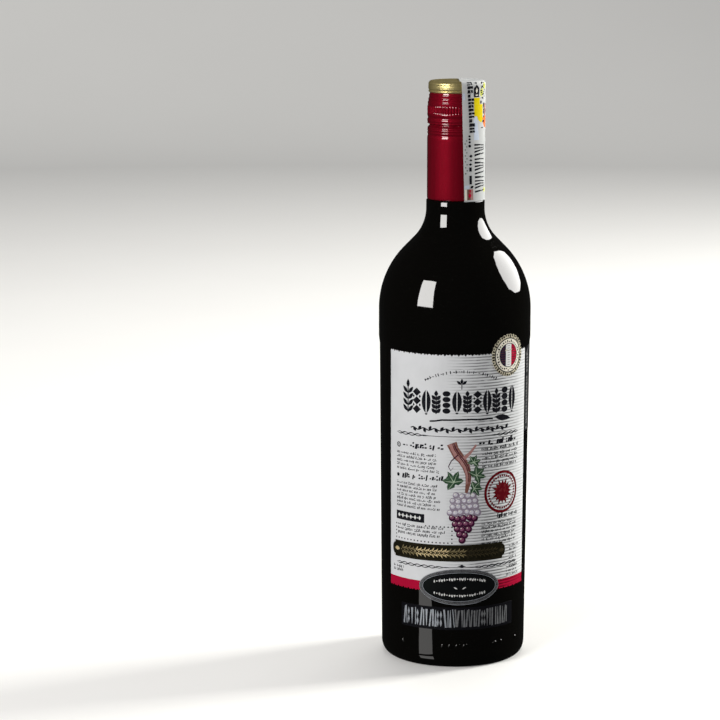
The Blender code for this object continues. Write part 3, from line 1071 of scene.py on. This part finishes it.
def makeSeal():
    s = sealShape
    centre = s["centre"]
    turns = evenTurns(s["teeth"] * 6)
    edges = [s["radius"] - s["tooth"] * (0.5 - 0.5 * cos(turn * s["teeth"])) for turn in turns]
    rows = []
    for share in (1.0, 0.92, 0.8, 0.6, 0.4, 0.2, 0.004):
        ring = spots(centre, *((edge * share, turn) for edge, turn in zip(edges, turns)))
        rows.append([onSticker(*spot, layers["stuck"]) for spot in ring])
    gridSheet("sealBase", rows, sealPaper, s["thickness"], "round_seal", closed=True)
    gap = layers["stuck"] + s["thickness"] + 0.012
    draw = random.Random(s["seed"])
    ticks = []
    for count, least, most, reaches in s["ticks"]:
        for i in range(count):
            a, b = tau * i / count, tau * (i + draw.uniform(least, most)) / count
            inner, outer = draw.choice(reaches)
            ticks.append(spots(centre, (inner, a), (outer, a), (outer, b), (inner, b)))
    rings = ringOf(centre, 9.0, 8.45, 60) + ringOf(centre, 6.2, s["field"], 48)
    printed("sealTicks", ticks, "olive", gap + 0.012, **onTop)
    printed("sealRings", rings, "dark", gap, **onTop)
    printed("sealPaleRing", ringOf(centre, 8.45, 6.2, 60), "cream", gap - 0.011, "seal_paper", **onTop)
    for name, left, right, tint, slot in s["stripes"]:
        stripe = []
        for x0, x1 in pairs(spread(left, right, 10)):
            y0, y1 = (sqrt(max(0.0, s["field"] ** 2 - x * x)) for x in (x0, x1))
            outline = [(x0, -y0), (x1, -y1), (x1, y1), (x0, y0)]
            if y0 < 0.01:
                del outline[3]
            elif y1 < 0.01:
                del outline[2]
            stripe.append(shifted(outline, *centre))
        printed(name, stripe, tint, gap, slot, **onTop)
    hatch = []
    for i in range(9):
        rise = (i - 4) * 1.2
        reach = sqrt(5.6**2 - rise * rise)
        for left, right, half in ((-reach, -2.3, 0.2), (2.1, reach, 0.2), (-0.9, 0.6, 0.1)):
            if right - left > 0.4:
                hatch.append(shifted(bar(left, rise - half, right, rise + half), *centre))
    printed("sealHatch", hatch, "hatch", gap + 0.024, **onTop)


makeSeal()


# The oval sticker over the label's foot

ovalShape = dict(
    centre=(-1.0, 43.0), half=(21.15, 9.45), thickness=0.12, reeds=(0.35, 1.5), reedPitch=0.5,
    lines=[(0.26, 0.06), (2.02, 1.78)], rows=[(46.2, 1.5, 13.0), (39.4, -1.3, 13.0)],
)


def makeOval():
    s = ovalShape
    centre, (halfWidth, halfHeight) = s["centre"], s["half"]
    rows = []
    for share in spread(-1, 1, 12):
        flat = [around(centre, (-halfWidth, halfHeight * share), turn) for turn in spread(0, pi, 96)]
        rows.append([onSticker(*spot, layers["stuck"]) for spot in flat])
    gridSheet("ovalBase", rows, pewterPaper, s["thickness"], "oval_sticker")
    gap = layers["stuck"] + s["thickness"] + 0.012

    def within(inset):
        return halfWidth - inset, halfHeight - inset

    low, high = (within(inset) for inset in s["reeds"])
    reeds = []
    turn = 0.0
    while turn < tau - 0.02:
        step = s["reedPitch"] / hypot(halfWidth * sin(turn), halfHeight * cos(turn))
        past = turn + step * 0.5
        reeds.append(spots(centre, (high, turn), (low, turn), (low, past), (high, past)))
        turn += step
    printed("ovalReeds", reeds, "pewter", gap, **onTop)
    lines = [ringOf(centre, within(outer), within(inner), 110) for outer, inner in s["lines"]]
    printed("ovalLines", lines[0] + lines[1], "silver", gap, **onTop)
    marks = []
    for middle, bow, reach in s["rows"]:
        for i in range(21):
            away = i / 10 - 1
            side, height = centre[0] + reach * away, middle + bow * (1 - away**2) - bow * 0.3
            if i % 4 == 1:
                marks.append(oval(side, height, 0.34, 0.34, 8))
            elif i % 4 == 3:
                marks += [leafOutline((side, height - 0.95), lean, 1.8, 0.24) for lean in (-20, 20)]
            else:
                marks.append(diamond(side, height, 0.4, 0.85))
    marks += [leafOutline((centre[0] + hand * 1.2, 42.0), hand * 62, 2.2, 0.3) for hand in (-1, 1)]
    printed("ovalMarks", marks, "white", gap, "print_metal", **onTop)


makeOval()


# The black film strip under the label, with tall silver strokes, and the dark side label

filmShape = dict(
    side=-1.4, width=64.0, low=20.4, high=32.4, sideLeft=42.6, sideWidth=74.0, sideLow=119.0, sideHigh=163.0,
    inset=0.05, thickness=0.09,
)
onFilm = layers["stuck"] + 0.1


def wallPatch(name, left, right, low, high, node):
    inset = filmShape["inset"]
    sides = spread(left + inset, right - inset, int(right - left - 2 * inset))
    heights = spread(low + inset, high - inset, max(3, int((high - low - 2 * inset) / 4.0)))
    rows = [[onWall(side, height, layers["stuck"]) for side in sides] for height in heights]
    gridSheet(name, rows, blackFilm, filmShape["thickness"], node)


def makeLowerStrip():
    f = filmShape
    half = f["width"] / 2
    wallPatch("lowerStrip", f["side"] - half, f["side"] + half, f["low"], f["high"], "lower_strip")
    draw = random.Random(3)
    strokes, shadedStrokes = [], []
    side = f["side"] - 29.6
    while side < f["side"] + 29.6:
        # reeds: bars, leaning bars, wedges and tall lozenges, unevenly spaced
        low, high = 21.6 + draw.uniform(0.0, 0.5), 31.0 + draw.uniform(-0.6, 0.3)
        kind, wide = draw.randrange(7), draw.uniform(0.22, 0.46)
        # painted light: strokes left of -4 mm are bright silver and the rest dull pewter, so the strip reads
        # lit on the left and shaded on the right
        target = strokes if side < -4.0 else shadedStrokes
        if kind < 2:
            target.append(bar(side - wide, low, side + wide, high))
        elif kind < 4:
            lean = draw.choice((-0.1, -0.06, 0.06, 0.1))
            target.append(bar(side - wide - lean * 4.7, low, side + wide - lean * 4.7, high, lean))
        elif kind < 6:
            foot, head = (0.6, 0.1) if kind == 4 else (0.1, 0.6)
            target.append([(side - foot, low), (side + foot, low), (side + head, high), (side - head, high)])
        else:
            target += [diamond(side, middle, 0.62, 2.2) for middle in (low + 2.3, high - 2.3)]
        side += draw.choice((1.15, 1.35, 1.6, 2.1))
    printed("stripStrokes", strokes, "silver", onFilm)
    printed("stripStrokesShaded", shadedStrokes, "pewter", onFilm)


def makeSideLabel():
    f = filmShape
    left, right = f["sideLeft"], f["sideLeft"] + f["sideWidth"]
    wallPatch("sideLabel", left, right, f["sideLow"], f["sideHigh"], "side_label")
    draw = random.Random(9)
    marks = []
    height = f["sideLow"] + 1.0
    while height < f["sideHigh"] - 4.5:
        tall = draw.uniform(0.9, 1.9)
        end = left + draw.uniform(3.4, 4.9)
        if draw.random() < 0.88:
            marks.append(bar(left + 1.1, height, end, height + tall * 0.62, draw.uniform(-0.4, 0.4)))
        height += tall + 0.25
    marks.append([(left + 0.5, 159.0), (left + 1.4, 158.8), (left + 6.6, 162.5), (left + 5.6, 162.7)])
    marks += paragraph(left + 9.0, right - 6.0, 158.0, 14, 2.5, 1.1, 51)
    printed("sideMarks", marks, "paleGrey", onFilm)


makeLowerStrip()
makeSideLabel()
print("stickers on")


# The paper strip over the cap: up one side, over the top and a little way down its middle

stripShape = dict(
    leftAtTop=4.1, skew=6.6, sweep=163.8, bottom=236.5, skirt=14.5, gap=0.28, level=0.2, corner=1.9,
    dent=0.16, flapEdge=1.5, columns=96, crumple=0.07,
)


def stripPoint(along, share, lift=0.0):
    # along runs from the strip's foot up the side and in over the top, share from its left edge to its right
    s = stripShape
    sideTop = capTop + s["level"] - s["corner"]
    radius = s["skirt"] + s["gap"]
    cornerLength = s["corner"] * pi / 2
    middle = s["leftAtTop"] + s["sweep"] / 2
    height = min(s["bottom"] + along, sideTop)
    climbed = (sideTop - height) / (sideTop - s["bottom"])
    azimuth = s["leftAtTop"] + s["skew"] * climbed + s["sweep"] * share
    if along <= sideTop - s["bottom"]:
        sag = s["dent"] * exp(-((height - 290.2) / 1.2) ** 2) * (1 if share > 0.01 else 0.4)
        sag += 0.12 * exp(-((height - 274.4) / 0.9) ** 2)
        wrinkle = s["crumple"] * sin(azimuth * 0.33 + height * 0.5) * easeStep(height, 284.0, 292.0)
        return polar(radius + lift - sag + wrinkle * 0.5, azimuth, height)
    past = along - (sideTop - s["bottom"])
    if past <= cornerLength:
        turn = past / s["corner"]
        out = radius - s["corner"] + (s["corner"] + lift) * cos(turn)
        return polar(out, azimuth, sideTop + (s["corner"] + lift) * sin(turn))
    edge = s["flapEdge"] / max(0.05, cos(radians(azimuth - middle)))
    flat = radius - s["corner"]
    run = min((past - cornerLength) / stripReach(), 1.0)
    waves = sin(azimuth * 0.19 + run * 7) + sin(azimuth * 0.41 - run * 4)
    height = capTop + s["level"] + lift * 0.9 + s["crumple"] * waves * run * (1 - run) * 2 - 0.1 * run
    return polar(flat + (min(edge, flat - 0.2) - flat) * run, azimuth, height)


def stripReach():
    return stripShape["skirt"] + stripShape["gap"] - stripShape["corner"] - stripShape["flapEdge"]


def stripLength():
    s = stripShape
    return capTop + s["level"] - s["corner"] - s["bottom"] + s["corner"] * pi / 2 + stripReach()


def makeStrip():
    steps = [i * 0.8 for i in range(int(stripLength() / 0.8))] + [stripLength()]
    rows = [[stripPoint(along, share) for share in spread(0, 1, stripShape["columns"])] for along in steps]
    gridSheet("capStrip", rows, stripPaper, 0.1, "cap_strip")


def onStrip(side, height, gap):
    # side in millimetres from the strip's left edge, height as on the bottle
    width = radians(stripShape["sweep"]) * stripShape["skirt"]
    return stripPoint(height - stripShape["bottom"], side / width, gap)


def ladder(draw):
    # two ragged rows of blocks, drifting to the right on the way down, then dots, small marks and bars
    made = []
    height = 271.2
    while height < 295.0:
        left = 2.6 + 0.9 * (294.8 - height) / 24
        tall = draw.uniform(0.9, 1.9)
        made.append(bar(left, height, left + draw.uniform(1.4, 1.8), height + tall, 0.1))
        side = left + draw.uniform(1.85, 2.1)
        if draw.random() < 0.85:
            low, right = height + draw.uniform(0.0, 0.4), side + draw.uniform(1.0, 1.7)
            made.append(bar(side, low, right, height + tall, -0.15))
        height += tall + draw.uniform(0.3, 0.5)
    made += [oval(3.4, at, 0.62, 0.55, 12) for at in (269.5, 268.0, 266.5)]
    made.append(oval(3.4, 264.6, 0.75, 0.75, 12))
    made += [diamond(4.0, 259.5, 1.0, 0.85), diamond(3.9, 257.4, 0.9, 0.6), diamond(3.7, 255.3, 1.0, 0.7)]
    return made + [bar(2.9, 251.8, 4.3, 253.9), bar(2.9, 245.3, 4.3, 249.7), bar(3.2, 243.2, 4.7, 244.5, 0.5)]


def hedge(draw):
    # thick strokes that lean more and less, each with a thinner one at its right
    made = []
    for i in range(14):
        at = 241.0 + i * 1.82 + draw.uniform(-0.1, 0.1)
        rise, fall = 0.4 + 0.5 * sin(i * 1.35), 0.45 * cos(i * 1.15)
        thick = draw.uniform(0.8, 1.15)
        made.append([(6.1, at), (6.2, at + thick), (10.6, at + rise + thick * 0.75), (10.7, at + rise + 0.1)])
        thin = [(11.0, 0.0), (11.1, 0.6), (14.0, fall + 0.5), (14.0, fall + 0.1)]
        made.append(shifted(thin, 0.0, at + rise))
    return made


# the strip's colour fields: ink, lift over the lowest ink, slot where that isn't the ink's own, outlines
stripFields = dict(
    stripTeal=("leaf", 0.0, None, [
        bar(0.7 + 0.8 * (i % 2), 250.5 + i * 1.5, 1.3 + 0.8 * (i % 2), 251.0 + i * 1.5) for i in range(12)]),
    stripYellow=("yellow", 0.0, None, [
        bar(6.4, 279.4, 8.2, 288.6), [(8.2, 279.2), (9.0, 277.4), (10.4, 276.4), (10.4, 288.6), (8.2, 288.6)],
        [(10.4, 276.4), (11.6, 276.0), (12.9, 277.6), (12.9, 285.2), (10.4, 285.2)],
        bar(19.0, 268.0, 33.0, 282.0)]),
    stripRose=("rose", 0.012, None, [bar(14.7, 279.2, 17.2, 285.2)]),
    stripOrange=("orange", 0.012, None, [
        [(12.9, 277.2), (14.0, 274.6), (15.6, 273.2), (17.2, 273.2), (17.2, 279.2), (14.7, 279.2),
         (12.9, 278.4)]]),
    stripTint=("blueTint", 0.0, None, [
        [(6.0, 267.4), (9.6, 267.4), (8.2, 279.0), (6.0, 279.2)], bar(0.25, 287.6, 1.5, 291.0),
        bar(0.3, 243.2, 2.8, 244.8)]),
    stripBox=("bark", 0.0, None, [bar(1.6, 237.4, 3.4, 242.8)]),
    stripPink=("rose", 0.0, None, [bar(3.4, 237.4, 4.9, 242.8)]),
    stripBoxMark=("crimson", 0.024, None, [oval(3.0, 239.6, 0.75, 1.2, 14), bar(2.8, 241.2, 3.6, 242.7)]),
    stripPale=("cream", 0.048, "strip_paper", [
        diamond(8.2, 292.2, 0.7, 1.5), bar(7.5, 289.6, 9.0, 290.3), bar(0.3, 237.2, 1.4, 242.8)]),
    stripSpot=("lime", 0.012, None, [
        oval(14.7, 241.8, 1.5, 1.2, 14), oval(12.2, 291.0, 1.4, 2.2, 16), oval(15.2, 294.2, 1.6, 1.7, 16)]),
)


def makeStripPrint():
    place = dict(place=onStrip, cutRows=True, cell=1.3)
    gap = 0.115
    draw = random.Random(13)
    black = ladder(draw) + hedge(draw)
    black.append([(6.5, 288.9), (10.0, 288.9), (10.0, 293.4), (8.3, 295.2), (6.5, 293.4)])
    black.append(diamond(8.0, 296.0, 1.0, 0.5))
    for i in range(7):
        side, at = 11.0 + draw.uniform(0.0, 1.2), 288.6 + i * 1.1
        black.append(leafOutline((side, at), draw.uniform(50, 130), draw.uniform(1.6, 2.6), 0.42))
        black.append(oval(14.9 + draw.uniform(-0.5, 0.5), at + 0.5, 0.5, 0.42, 8))
    black.append(bar(10.8, 285.5, 11.9, 287.0))
    black += [leafOutline((13.6, 279.3 + i * 0.95), draw.uniform(20, 160), 1.6, 0.5) for i in range(7)]
    black += [oval(13.6, 276.6, 0.9, 0.7, 10), bar(11.2, 273.2, 13.4, 273.6, 0.6)]
    black += [bar(19.0 + i * 2.6, 244.0, 19.7 + i * 2.6, 286.0) for i in range(6)]
    printed("stripBlack", black, "dark", gap + 0.03, **place)
    for name, (tint, lift, slot, outlines) in stripFields.items():
        printed(name, outlines, tint, gap + lift, slot, **place)


makeStrip()
makeStripPrint()
print("strip on")


# Stage: pale floor, cards that only reflections see, soft studio light, camera

stageShape = dict(pale=(0.8, 0.79, 0.77), flat=2.4, curve=0.8, rim=1.3, lightHeight=0.15, lightDistance=1.9)
cardDistance = 2.0
cards = dict(
    left=dict(strength=9.6, middle=(-0.013, -0.034, 0.193), corners=[
        (-65.6, 4.2), (-40.3, 4.8), (-42.0, 37.2), (-67.2, 34.8),
    ]),
    right=dict(strength=7.4, middle=(0.023, -0.016, 0.206), corners=[
        (90.0, 14.0), (102.0, 7.2), (115.0, 5.2), (126.0, 7.2), (134.0, 11.6), (138.0, 16.0), (138.4, 22.0),
        (131.5, 29.5), (119.0, 40.0), (106.0, 43.0), (94.0, 38.6), (88.0, 32.5), (86.5, 25.0),
    ]),
)
tableCards = dict(
    strip=dict(strength=1.05, spots=[
        (-0.168, -0.106), (-0.125, -0.159), (-0.03, -0.0532), (-0.0405, -0.0405),
    ]),
    heel=dict(strength=1.15, spots=[
        (-0.0345, -0.0372), (-0.0243, -0.0468), (-0.018, -0.0395), (-0.0268, -0.034),
    ]),
)


def aloft(distance, azimuth, elevation):
    rise = radians(elevation)
    return Vector(polar(distance * cos(rise), azimuth, distance * sin(rise)))


def emissive(name, strength):
    made = bpy.data.materials.new(name)
    made.use_nodes = True
    tree = made.node_tree
    tree.nodes.remove(tree.nodes["Principled BSDF"])
    glow = tree.nodes.new("ShaderNodeEmission")
    glow.inputs["Strength"].default_value = strength
    glow.inputs["Color"].default_value = (1.0, 0.985, 0.96, 1.0)
    feed(tree.nodes["Material Output"].inputs[0], glow.outputs[0])
    return made


def makeCard(name, strength, places):
    shape = bmesh.new()
    shape.faces.new([shape.verts.new(place) for place in places])
    card = addObject(name, meshFrom(name, shape, emissive(name, strength)))
    for ray in ("camera", "diffuse", "transmission", "shadow", "volume_scatter"):
        setattr(card, "visible_" + ray, False)


def makeCards():
    # the far cards by directions from the place on the bottle that shows them: azimuth and elevation
    for name, card in cards.items():
        places = [aloft(cardDistance, *corner) + Vector(card["middle"]) for corner in card["corners"]]
        makeCard("card" + name.capitalize(), card["strength"], places)
    for name, card in tableCards.items():
        places = [(x, y, -0.001) for x, y in card["spots"]]
        makeCard("tableCard" + name.capitalize(), card["strength"], places)


def makeFloor():
    # a round floor that curves up into a low wall
    s = stageShape
    shape = bmesh.new()
    profile = [(0.01, 0.0), (0.6, 0.0), (1.5, 0.0)]
    profile += arc((s["flat"], s["curve"]), s["curve"], -pi / 2, 0.0, 14)
    profile.append((s["flat"] + s["curve"], s["rim"]))
    rings = [[shape.verts.new(polar(radius, azimuth, height)) for azimuth in evenAzimuths(72)]
             for radius, height in profile]
    for lower, upper in pairs(rings):
        joinRings(shape, lower, upper)
    made, tree, shader = newMaterial(
        "studioFloor", Roughness=0.8, Specular_IOR_Level=0.2, Emission_Strength=0.1,
        Emission_Color=(*s["pale"], 1.0))
    darkerTone = tuple(0.97 * c for c in s["pale"])
    feed(shader["Base Color"], mixColours(tree, noiseNode(tree, 6.0, 3.0), s["pale"], darkerTone))
    mesh = meshFrom("floor", shape, made)
    mesh.shade_smooth()
    floor = addObject("floor", mesh)
    floor.visible_glossy = False
    floor.visible_diffuse = False


def makeWorld():
    world = bpy.data.worlds.new("studio")
    world.use_nodes = True
    tree = world.node_tree
    background = tree.nodes["Background"].inputs
    paths = tree.nodes.new("ShaderNodeLightPath").outputs
    seen = rangeNode(tree, paths["Is Camera Ray"], 0.0, 1.0, 0.25, 0.62)
    mirrored = rangeNode(tree, paths["Is Glossy Ray"], 0.0, 1.0, 1.0, 0.05)
    feed(background["Strength"], times(tree, seen, mirrored))
    feed(background["Color"], (0.98, 0.99, 1.0, 1.0))
    bpy.context.scene.world = world


def areaLight(name, azimuth, tilt, size, power, tint):
    data = bpy.data.lights.new(name, "AREA")
    data.shape = "RECTANGLE"
    data.size, data.size_y = size
    data.energy = power
    data.color = tint
    light = addObject(name, data)
    target = Vector((0.0, 0.0, stageShape["lightHeight"]))
    light.location = target + aloft(stageShape["lightDistance"], azimuth, tilt)
    light.rotation_euler = (target - light.location).to_track_quat("-Z", "Y").to_euler()
    light.visible_glossy = False
    light.visible_camera = False


def makeCamera():
    data = bpy.data.cameras.new("camera")
    data.lens = 132.85
    data.sensor_width = 36.0
    camera = addObject("camera", data)
    camera.location = (-0.1613, -1.3333, 0.396)
    camera.rotation_euler = tuple(radians(angle) for angle in (79.75, 0.0, -4.83))
    bpy.context.scene.camera = camera


makeCards()
makeFloor()
makeWorld()
areaLight("keyLeft", -46, 22, (0.9, 1.0), 32, (1.0, 0.99, 0.985))
areaLight("raking", 108, 14, (0.5, 0.8), 74, (1.0, 1.0, 0.96))
areaLight("above", 170, 62, (1.2, 1.2), 17, (1.0, 0.99, 0.97))
makeCamera()
bpy.context.scene.view_settings.view_transform = "Standard"
print("stage set")
